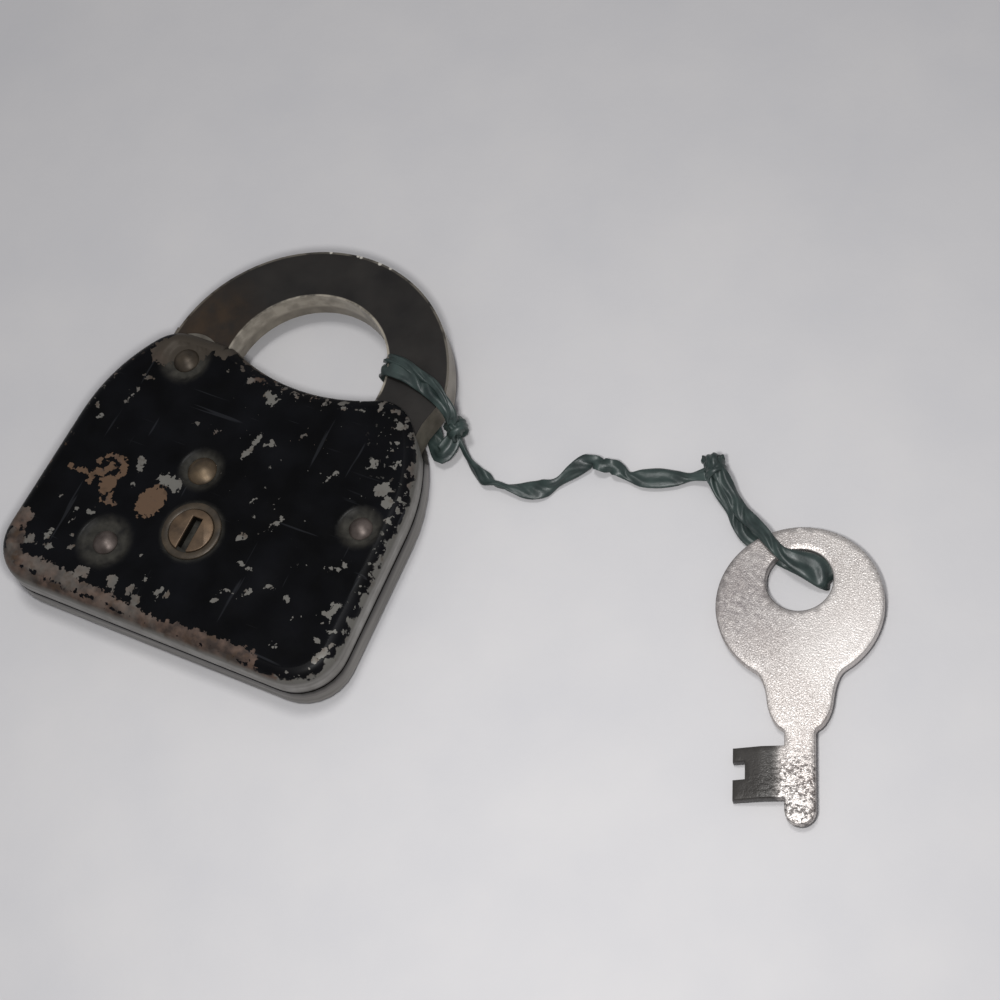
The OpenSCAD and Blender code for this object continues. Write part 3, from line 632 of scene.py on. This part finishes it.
# %% Sizes of the key and half of its outline
KEY_AT, KEY_TURN, KEY_Z, KEY_T = (72.2, 14.4), math.radians(-67), 0.7, 1.3
BOW_R, HOLE_R, HOLE_BACK = 10.05, 4.05, 3.05
STEM_HALF, BIT_AT, BIT_L, TIP_AT = 1.8, 18.0, 6.4, 27.65
BIT_REACH, BIT_BEND, DROP = 7.85, 4.45, math.tan(math.radians(11))
NOTCH_FROM, NOTCH_TO, NOTCH_DEEP = 1.7, 3.9, 1.45
KEY_EDGE, KEY_GRID, KEY_STEP = 0.16, 0.6, 0.5


def key_side():
    """Half of the outline, from the bow's back to the tip, on the +y side."""
    points = arc_points((0, 0), BOW_R, math.pi, math.radians(32), 48)
    points += [(8.8, 5.0), (9.25, 4.68), (9.9, 4.4), (10.6, 4.18), (11.3, 4.02), (12.0, 3.92),
               (12.7, 3.83), (13.3, 3.73), (13.8, 3.58), (14.3, 3.38), (14.8, 3.13),
               (15.3, 2.82), (15.7, 2.45), (15.95, 2.05), (16.15, 1.88), (16.5, 1.8)]
    points += [(x, STEM_HALF) for x in np.arange(17.0, TIP_AT - 1.3, 0.5)]
    points += arc_points((TIP_AT - STEM_HALF, 0), STEM_HALF, math.radians(80), 0, 9)
    return points


# %% Stamping it from sheet
def stamped(outline, hole, top, bottom, height, name, body, **declared):
    """A sheet part with rounded edges; height moves points down where the part is bent."""
    loops = [outline, hole]
    normals = [loop_normals(lp) for lp in loops]
    inner = [lp - nm * KEY_EDGE for lp, nm in zip(loops, normals)]
    points, triangles, origin = filled(inner[0], KEY_GRID, holes=inner[1:])
    count = sum(len(lp) for lp in loops)
    vertices = [(p[0], p[1], z) for z in (top, bottom) for p in points]
    n = len(points)
    faces = [tuple(f) for f in triangles]
    faces += [tuple(v + n for v in reversed(f)) for f in triangles]
    slot_of = {o: k for k, o in enumerate(origin) if 0 <= o < count}
    start, bevel = 0, KEY_EDGE * 0.3
    for lp, nm in zip(loops, normals):
        levels = [[slot_of[start + k] for k in range(len(lp))]]
        for inset, z in ((bevel, top - bevel), (0, top - KEY_EDGE),
                         (0, bottom + KEY_EDGE), (bevel, bottom + bevel)):
            levels.append(list(range(len(vertices), len(vertices) + len(lp))))
            vertices += [(*p, z) for p in lp - nm * inset]
        levels.append([slot_of[start + k] + n for k in range(len(lp))])
        for a, b in zip(levels[:-1], levels[1:]):
            for k in range(len(lp)):
                m = (k + 1) % len(lp)
                faces.append((a[m], a[k], b[k], b[m]))
        start += len(lp)
    every = np.array(vertices, float)
    every[:, 2] += height(every)
    c, s = math.cos(KEY_TURN), math.sin(KEY_TURN)
    placed = np.column_stack([KEY_AT[0] + every[:, 0] * c - every[:, 1] * s,
                              KEY_AT[1] + every[:, 0] * s + every[:, 1] * c, every[:, 2]])
    piece = new_piece(name, placed, faces, body, **declared)
    piece.data.set_sharp_from_angle(angle=math.radians(50))
    bent = np.clip((-every[:, 1] - STEM_HALF - 0.2) / 0.9, 0, 1) * (every[:, 0] > BIT_AT - 0.3)
    store(piece, "bit", bent)
    return piece


# %% The whole outline with the bit
upper_side = key_side()
lower_side = [(x, -y) for x, y in reversed(upper_side)][1:]
notch_x0, notch_x1, notch_y = BIT_AT + NOTCH_FROM, BIT_AT + NOTCH_TO, NOTCH_DEEP - BIT_REACH
bit_path = [(BIT_AT + BIT_L, -STEM_HALF), (BIT_AT + BIT_L, -BIT_REACH), (notch_x1, -BIT_REACH),
            (notch_x1, notch_y), (notch_x0, notch_y), (notch_x0, -BIT_REACH),
            (BIT_AT, -BIT_REACH), (BIT_AT, -STEM_HALF)]
before = [p for p in lower_side if p[0] > BIT_AT + BIT_L]
after = [p for p in lower_side if p[0] < BIT_AT]
key_outline = np.array(upper_side + before + bit_path + after)


def dense(loop, step):
    """Adds points on long edges and keeps the corners."""
    rows = []
    for a, b in zip(loop, np.roll(loop, -1, 0)):
        count = max(1, int(np.linalg.norm(b - a) / step))
        rows += [a + (b - a) * k / count for k in range(count)]
    return np.array(rows)


key_outline = dense(key_outline[::-1], KEY_STEP)
key_hole = np.array(arc_points((-HOLE_BACK, 0), HOLE_R, 0, -FULL_TURN, 65)[:-1])


def bit_drop(v):
    """The bit slopes down beyond its bend line."""
    return -DROP * np.clip(-v[:, 1] - BIT_BEND, 0, 9) * (v[:, 0] > BIT_AT - 0.5)


key = stamped(key_outline, key_hole, KEY_Z + KEY_T, KEY_Z, bit_drop, "key_blank", "shackle",
              stands_for=["key"], slot="nickelled_steel")
print("key", len(key.data.polygons), "faces")

# %% [markdown]
# All finishes are made of a few simple masks: cloudy noise, fine speckle and scratches. The
# masks live in one node group, so each material can ask for its own scale and threshold.

# %% Colours
def colour(red, green, blue):
    """A colour as it is seen on a screen, turned into the linear values Blender needs."""
    parts = [c / 255 for c in (red, green, blue)]
    return (*[p / 12.92 if p <= 0.04045 else ((p + 0.055) / 1.055) ** 2.4 for p in parts], 1)


# %% Shared node group for specks and clouds
def speck_group():
    group = bpy.data.node_groups.new("specks", "ShaderNodeTree")
    for label, kind, value in (("Scale", "NodeSocketFloat", 1000.0),
                               ("Threshold", "NodeSocketFloat", 0.5),
                               ("Softness", "NodeSocketFloat", 0.05),
                               ("Detail", "NodeSocketFloat", 3.0),
                               ("Stretch", "NodeSocketVector", (1.0, 1.0, 1.0))):
        group.interface.new_socket(label, in_out="INPUT", socket_type=kind).default_value = value
    for label in ("Mask", "Cloud"):
        group.interface.new_socket(label, in_out="OUTPUT", socket_type="NodeSocketFloat")
    nodes, links = group.nodes, group.links
    given, out = nodes.new("NodeGroupInput"), nodes.new("NodeGroupOutput")
    place, noise = nodes.new("ShaderNodeTexCoord"), nodes.new("ShaderNodeTexNoise")
    low, high = nodes.new("ShaderNodeMath"), nodes.new("ShaderNodeMath")
    low.operation, high.operation = "SUBTRACT", "ADD"
    ramp = nodes.new("ShaderNodeMapRange")
    stretch = nodes.new("ShaderNodeVectorMath")
    stretch.operation = "MULTIPLY"
    links.new(place.outputs["Object"], stretch.inputs[0])
    links.new(given.outputs["Stretch"], stretch.inputs[1])
    links.new(stretch.outputs[0], noise.inputs["Vector"])
    links.new(given.outputs["Scale"], noise.inputs["Scale"])
    links.new(given.outputs["Detail"], noise.inputs["Detail"])
    for node in (low, high):
        links.new(given.outputs["Threshold"], node.inputs[0])
        links.new(given.outputs["Softness"], node.inputs[1])
    links.new(noise.outputs["Fac"], ramp.inputs["Value"])
    links.new(low.outputs[0], ramp.inputs["From Min"])
    links.new(high.outputs[0], ramp.inputs["From Max"])
    links.new(ramp.outputs["Result"], out.inputs["Mask"])
    links.new(noise.outputs["Fac"], out.inputs["Cloud"])
    return group


SPECKS = speck_group()
print("group", SPECKS.name, [item.name for item in SPECKS.interface.items_tree])


# %% A small builder for materials
class Finish:
    """A small builder: keeps a material's nodes and joins them with few words."""

    def __init__(self, name, base, metallic=0.0, roughness=0.5, **sockets):
        self.material = bpy.data.materials.new(name)
        self.material.use_nodes = True
        self.nodes, self.links = self.material.node_tree.nodes, self.material.node_tree.links
        self.shader = self.nodes["Principled BSDF"]
        given = {"Base_Color": base, "Metallic": metallic, "Roughness": roughness, **sockets}
        for label, value in given.items():
            self.shader.inputs[label.replace("_", " ")].default_value = value

    def put(self, socket, value):
        if isinstance(value, bpy.types.NodeSocket):
            self.links.new(value, socket)
        else:
            socket.default_value = value

    def specks(self, scale, threshold=0.5, softness=0.05, detail=3.0, cloud=False,
               stretch=(1, 1, 1)):
        node = self.nodes.new("ShaderNodeGroup")
        node.node_tree = SPECKS
        for label, value in zip(("Scale", "Threshold", "Softness", "Detail"),
                                (scale, threshold, softness, detail)):
            node.inputs[label].default_value = value
        node.inputs["Stretch"].default_value = stretch
        return node.outputs["Cloud" if cloud else "Mask"]

    def attribute(self, name):
        node = self.nodes.new("ShaderNodeAttribute")
        node.attribute_name = name
        return node.outputs["Fac"]

    def math(self, operation, *values):
        node = self.nodes.new("ShaderNodeMath")
        node.operation = operation
        for socket, value in zip(node.inputs, values):
            self.put(socket, value)
        return node.outputs[0]

    def ramp(self, value, low, high, to_low=0.0, to_high=1.0):
        node = self.nodes.new("ShaderNodeMapRange")
        for label, given in (("Value", value), ("From Min", low), ("From Max", high),
                             ("To Min", to_low), ("To Max", to_high)):
            self.put(node.inputs[label], given)
        return node.outputs["Result"]

    def mix(self, share, first, second):
        node = self.nodes.new("ShaderNodeMix")
        node.data_type = "RGBA"
        for socket, value in ((node.inputs[0], share), (node.inputs[6], first),
                              (node.inputs[7], second)):
            self.put(socket, value)
        return node.outputs[2]

    def place(self, axis=None):
        node = self.nodes.new("ShaderNodeTexCoord")
        if axis is None:
            return node.outputs["Object"]
        split = self.nodes.new("ShaderNodeSeparateXYZ")
        self.links.new(node.outputs["Object"], split.inputs[0])
        return split.outputs[axis]

    def away(self, point):
        """Distance in metres from a point given in millimetres."""
        node = self.nodes.new("ShaderNodeVectorMath")
        node.operation = "DISTANCE"
        self.links.new(self.place(), node.inputs[0])
        node.inputs[1].default_value = [v * MM for v in point]
        return node.outputs["Value"]

    def near(self, point, reach, soft):
        """1 within reach of a point, falling to 0 over soft, all in millimetres."""
        return self.ramp(self.away(point), (reach + soft) * MM, reach * MM)

    def ring(self, centre, radius, half):
        """1 on a thin ring round a point, in millimetres."""
        off = self.math("ABSOLUTE", self.math("SUBTRACT", self.away(centre), radius * MM))
        return self.ramp(off, half * 1.8 * MM, half * MM)

    def bump(self, height, strength, depth):
        node = self.nodes.new("ShaderNodeBump")
        node.inputs["Strength"].default_value = strength
        node.inputs["Distance"].default_value = depth * MM
        self.links.new(height, node.inputs["Height"])
        self.links.new(node.outputs["Normal"], self.shader.inputs["Normal"])

    def set(self, label, value):
        self.put(self.shader.inputs[label], value)


def dress(piece, finish):
    piece.data.materials.clear()
    piece.data.materials.append(finish.material)
    for face in piece.data.polygons:
        face.material_index = 0
    print(piece.name, "wears", finish.material.name)


# %% [markdown]
# Black stove paint over steel. The stored distance is shaken by noise before it is cut, which
# gives each chip a torn edge. Bare steel is dull grey, and brown where rust has taken it.

# %% Chipped paint
BLACK, STEEL = colour(5, 5, 6), colour(108, 106, 101)
STAINED, RUST = colour(96, 80, 71), colour(94, 75, 60)
# Dark gap where the two pans meet, widened into painted shade
SEAM_GAP_AND_SHADE = colour(34, 31, 28)
ALONG_WALL = (0.12, 0.12, 3)  # stretches specks into streaks that run along the wall


def chipped_paint():
    f = Finish("chipped_paint", BLACK, 0.0, 0.3, Specular_IOR_Level=0.1)
    shake = f.math("MULTIPLY", f.math("SUBTRACT", f.specks(1500, cloud=True, detail=4), 0.5), 2.2)
    edge = f.math("ADD", f.attribute("wear"), shake)
    chip = f.ramp(edge, 0.08, 0.15)
    wall = f.attribute("wall")
    # Tiny chips crowd towards the rim
    crumbs = f.specks(1500, 0.655, 0.01, 2)
    rim_chip = f.ramp(f.math("ADD", f.math("MULTIPLY", f.specks(700, cloud=True, detail=5), 0.9),
                             f.math("MULTIPLY", wall, 1.1)), 0.8, 0.84)
    crowd = f.math("MAXIMUM", f.ramp(wall, 0.02, 0.15), f.near((21, 14.5, 9), 2, 5))
    grains = f.math("MULTIPLY", f.specks(1700, 0.74, 0.01, 2), f.near((8, 10, 9), 6, 14))
    bare = f.math("MAXIMUM", f.math("MAXIMUM", chip, rim_chip),
                  f.math("MAXIMUM", f.math("MULTIPLY", crumbs, crowd),
                         f.ramp(grains, 0.4, 0.6, 0, 0.7)))
    rub = f.math("MULTIPLY", f.attribute("rub"), f.specks(900, 0.42, 0.3, 4))
    cloud = f.specks(420, 0.5, 0.22, 5)
    brown = f.math("MULTIPLY", f.attribute("brown"), f.ramp(wall, 0.5, 0.3))
    metal = f.mix(f.math("MULTIPLY", cloud, 0.45), STEEL, colour(92, 90, 86))
    metal = f.mix(f.ramp(wall, 0.45, 0.6), metal, f.mix(cloud, colour(162, 160, 156),
                                                       colour(128, 125, 120)))
    stain = f.ramp(f.math("ADD", brown, f.math("MULTIPLY", cloud, 0.15)), 0.2, 0.45)
    metal = f.mix(stain, metal, f.mix(f.specks(620, 0.5, 0.12, 5), STAINED, colour(60, 52, 48)))
    patchy = f.math("ADD", brown, f.math("MULTIPLY", f.specks(700, cloud=True, detail=5), 1.3))
    metal = f.mix(f.ramp(patchy, 1.2, 1.45), metal, RUST)
    metal = f.mix(f.math("MULTIPLY", f.specks(650, 0.62, 0.06), f.ramp(wall, 0.3, 0.6, 0.6, 0.12)),
                  metal, colour(72, 58, 46))
    smoky = f.mix(f.math("MULTIPLY", f.specks(160, 0.56, 0.2, 6), 0.4), BLACK, colour(22, 23, 28))
    scratches = f.math("MAXIMUM", f.specks(600, 0.7, 0.02, 2, stretch=(0.12, 2.2, 1)),
                       f.specks(500, 0.7, 0.02, 2, stretch=(2.0, 0.15, 1)))
    smoky = f.mix(f.math("MULTIPLY", scratches, 0.1), smoky, colour(92, 94, 100))
    smoky = f.mix(f.math("MULTIPLY", rub, 0.8), smoky, colour(70, 68, 62))
    metal = f.mix(f.near((-13.5, 17.5, 8.5), 3.6, 6.5), metal, colour(66, 60, 53))
    streaks = f.specks(500, 0.5, 0.25, 4, stretch=ALONG_WALL)
    metal = f.mix(f.math("MULTIPLY", streaks, f.ramp(wall, 0.45, 0.6, 0, 0.55)), metal,
                  colour(74, 71, 67))
    # Painted shade where the upper pan's lip turns in at the seam, over the dark gap
    metal = f.mix(f.ramp(wall, 0.86, 0.95), metal, SEAM_GAP_AND_SHADE)
    f.set("Base Color", f.mix(bare, smoky, metal))
    f.set("Metallic", f.math("MULTIPLY", bare, f.ramp(wall, 0.0, 0.5, 0.15, 0.6)))
    gloss = f.ramp(f.specks(300, 0.55, 0.25, 5), 0, 1, 0.2, 0.34)
    dull = f.ramp(f.attribute("rub"), 0, 1, gloss, 0.6)
    dull = f.math("MAXIMUM", dull, f.ramp(wall, 0.0, 0.06, 0, 0.42))
    f.set("Roughness", f.ramp(bare, 0, 1, dull, 0.45))
    height = f.math("SUBTRACT", f.math("MULTIPLY", f.specks(2500, cloud=True), 0.12), bare)
    f.bump(height, 0.5, 0.06)
    return f


def lower_paint():
    """The lower pan: painted underneath, bare on its wall, which its height tells apart."""
    f = Finish("lower_paint", BLACK, 0.0, 0.3)
    bare = f.ramp(f.math("ADD", f.place("Z"), f.math("MULTIPLY", f.specks(600, cloud=True), 0.001)),
                  0.0011, 0.0013)
    metal = f.mix(f.specks(500, 0.5, 0.25, 4, stretch=ALONG_WALL), colour(140, 137, 132),
                  colour(66, 62, 58))
    # Painted shade just under the seam, below the upper pan's lip, over the dark gap
    metal = f.mix(f.ramp(f.place("Z"), 0.0036, 0.0043), metal, SEAM_GAP_AND_SHADE)
    f.set("Base Color", f.mix(bare, BLACK, metal))
    f.set("Metallic", f.math("MULTIPLY", bare, 0.7))
    f.set("Roughness", f.ramp(bare, 0, 1, 0.3, 0.42))
    return f


dress(rear, chipped_paint())
dress(front, lower_paint())

# %% [markdown]
# The shackle has lost nearly all its finish: it is dark with old oil, brown near the pivot,
# brighter on its inner wall where the hasp rubbed, and nicked along its outer edge. A painted
# highlight runs along both edges of the bow, and the nicks are painted as glints.

# %% Dark worn steel of the shackle
def shackle_steel():
    f = Finish("shackle_steel", colour(40, 38, 36), 0.5, 0.38)
    normal = f.nodes.new("ShaderNodeNewGeometry")
    split = f.nodes.new("ShaderNodeSeparateXYZ")
    f.links.new(normal.outputs["True Normal"], split.inputs[0])
    side = f.ramp(f.math("ABSOLUTE", split.outputs["Z"]), 0.8, 0.5)
    grime = f.specks(180, 0.5, 0.25, 5)
    flat = f.mix(grime, colour(30, 28, 27), colour(48, 45, 42))
    rust = f.math("MULTIPLY", f.near((-15.0, 22.5, 6.6), 2.5, 6.0), f.specks(420, 0.42, 0.2, 5))
    flat = f.mix(f.math("MULTIPLY", rust, 0.85), flat, colour(66, 52, 38))
    wall = f.mix(f.specks(500, 0.5, 0.2, 4), colour(136, 129, 116), colour(108, 101, 90))
    # Bare nicks on the outer edge, painted as bright glints
    nick_glints = f.near((3.2, 38.1, 6.6), 0.22, 0.1)
    for point in ((-4.0, 37.5, 6.6), (-0.2, 38.2, 6.6), (0.3, 38.15, 6.6), (4.9, 37.9, 6.6)):
        nick_glints = f.math("MAXIMUM", nick_glints, f.near(point, 0.16, 0.1))
    base = f.mix(side, flat, wall)
    # Both edges of the bow are rubbed bright, and a painted highlight runs along them
    rim_wear_highlight = f.math("MAXIMUM", f.ring((1, 20.4, 6.6), 11.15, 0.16),
                  f.math("MULTIPLY", f.ring((1.3, 18.5, 6.6), 19.7, 0.14), 0.35))
    rim_wear_highlight = f.math("MULTIPLY", rim_wear_highlight, f.specks(500, 0.46, 0.12, 4))
    base = f.mix(rim_wear_highlight, base, colour(168, 160, 146))
    f.set("Base Color", f.mix(nick_glints, base, colour(205, 200, 190)))
    f.set("Roughness", f.ramp(f.specks(260, 0.5, 0.3, 5), 0, 1, 0.3, 0.5))
    f.bump(f.specks(1200, cloud=True, detail=6), 0.25, 0.05)
    return f


dress(shackle, shackle_steel())

# %% [markdown]
# The rivet heads and the slotted disc are dull and stained, and the tops of the domes are
# polished by handling. The disc is painted dark below its top, as shade in its slot and well.

# %% Rivets, disc and collar
def stained_metal(name, light, dark, metallic=0.6, roughness=0.42):
    f = Finish(name, light, metallic, roughness)
    f.set("Base Color", f.mix(f.specks(520, 0.5, 0.2, 5), light, dark))
    f.set("Roughness", f.ramp(f.specks(700, 0.5, 0.3, 4), 0, 1, roughness - 0.1, roughness + 0.15))
    f.bump(f.specks(1600, cloud=True, detail=5), 0.3, 0.05)
    return f


rivet_steel = stained_metal("rivet_steel", colour(106, 96, 91), colour(62, 54, 50))
brassy = stained_metal("brassy_steel", colour(108, 92, 72), colour(68, 58, 47))
for name, head in heads.items():
    dress(head, brassy if name == "bolt_stud_left" else rivet_steel)
dress(heads["pivot_rivet"], stained_metal("pivot_steel", colour(82, 72, 60), colour(50, 44, 37)))
disc_brass = stained_metal("disc_brass", colour(112, 92, 72), colour(72, 59, 47))
stain = disc_brass.shader.inputs["Base Color"].links[0].from_socket
# Painted shade: the disc is darkened below its top, in its slot and its well
depth = disc_brass.ramp(disc_brass.place("Z"), 0.0090, 0.0093)
disc_brass.set("Base Color", disc_brass.mix(depth, colour(24, 20, 16), stain))
dress(disc, disc_brass)
dress(collar, stained_metal("collar_metal", colour(74, 63, 49), colour(37, 32, 26), 0.3))
inner = stained_metal("inner_steel", colour(120, 116, 108), colour(84, 78, 70))
for node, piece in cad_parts.items():
    if not piece.hide_render:
        dress(piece, inner)

# %% [markdown]
# Nickel plating over rolled sheet sparkles: it is full of fine pits. The bit was bent and
# filed after plating; it is painted darker, as shade, since it faces away from the light.

# %% Pitted nickel
def pitted_nickel():
    f = Finish("pitted_nickel", colour(190, 186, 182), 0.8, 0.45)
    pits = f.specks(6400, 0.5, 0.14, 2)
    hammered = f.near((82.0, -9.0, 2.0), 4.5, 3.5)
    dents = f.math("MULTIPLY", f.specks(2300, 0.53, 0.1, 2), hammered)
    stain = f.specks(230, 0.52, 0.2, 5)
    base = f.mix(pits, colour(226, 221, 217), colour(166, 160, 155))
    base = f.mix(dents, base, colour(96, 92, 90))
    base = f.mix(f.math("MULTIPLY", stain, 0.3), base, colour(150, 136, 130))
    # One side of the bow is painted in darker, mottled shade; the other carries a painted highlight
    mottle = f.ramp(f.specks(1500, 0.5, 0.15, 3), 0, 1, 0.35, 0.85)
    dull = f.math("MULTIPLY", f.near((64.5, 13.0, 2.0), 2.5, 11), mottle)
    base = f.mix(dull, base, colour(122, 116, 116))
    key_highlight = f.math("MULTIPLY", f.near((80.5, 12.0, 2.0), 2.5, 7), 0.35)
    base = f.mix(key_highlight, base, colour(232, 227, 223))
    # Painted shade: the bent bit faces away from the light and is darkened
    base = f.mix(f.math("MULTIPLY", f.attribute("bit"), 0.95), base, colour(38, 36, 33))
    f.set("Metallic", f.ramp(f.attribute("bit"), 0, 1, 0.8, 0.3))
    f.set("Base Color", base)
    f.set("Roughness", f.ramp(pits, 0, 1, 0.34, 0.5))
    f.bump(f.math("SUBTRACT", f.specks(5000, cloud=True, detail=2), dents), 0.55, 0.05)
    return f


dress(key, pitted_nickel())

# %% [markdown]
# The tie is soft green plastic, thin enough to shine along each fold.

# %% Plastic of the tie
def tie_plastic():
    f = Finish("tie_plastic", colour(44, 58, 55), 0.0, 0.4)
    f.set("Base Color", f.mix(f.specks(450, 0.5, 0.2, 3), colour(34, 44, 43), colour(56, 69, 66)))
    f.bump(f.specks(900, cloud=True, detail=3), 0.5, 0.12)
    return f


plastic = tie_plastic()
for piece in tie_pieces:
    dress(piece, plastic)

# %% [markdown]
# A pale table top, a small soft lamp low above the front edge and a soft box overhead.
# The lamp lies on the line from the viewer to the lock, so shadows there hide behind the
# parts, and the soft box keeps the rest short. The black paint mirrors neither of them and
# keeps its depth, while rounded edges catch light.

# %% Table
bpy.ops.mesh.primitive_plane_add(size=3, location=(0, 0, 0))
table = bpy.context.object
table.name = "table"
table_finish = Finish("table_top", colour(203, 202, 204), 0.0, 0.85)
table_finish.set("Base Color", table_finish.mix(table_finish.specks(60, 0.5, 0.3, 4),
                                                colour(208, 206, 206), colour(199, 198, 200)))
table_finish.bump(table_finish.specks(900, cloud=True, detail=4), 0.25, 0.1)
dress(table, table_finish)


# %% A round soft lamp
def lamp(name, at, aim, size, power):
    light = bpy.data.lights.new(name, "AREA")
    light.shape, light.size, light.energy = "DISK", size, power
    holder = bpy.data.objects.new(name, light)
    holder.location = at
    holder.rotation_euler = (Vector(aim) - Vector(at)).to_track_quat("-Z", "Y").to_euler()
    holder.visible_camera = False
    scene.collection.objects.link(holder)
    print(name, power, "W")


# %% Two lamps and the room
lamp("front_lamp", (0.08, -0.048, 0.15), (0.05, -0.02, 0), 0.022, 0.155)
lamp("soft_box", (0.015, 0.055, 0.5), (0.035, 0, 0), 0.1, 0.68)
world = bpy.data.worlds.new("room")
scene.world = world
world.use_nodes = True
world.node_tree.nodes["Background"].inputs["Color"].default_value = (0.95, 0.955, 1.0, 1)
world.node_tree.nodes["Background"].inputs["Strength"].default_value = 0.28
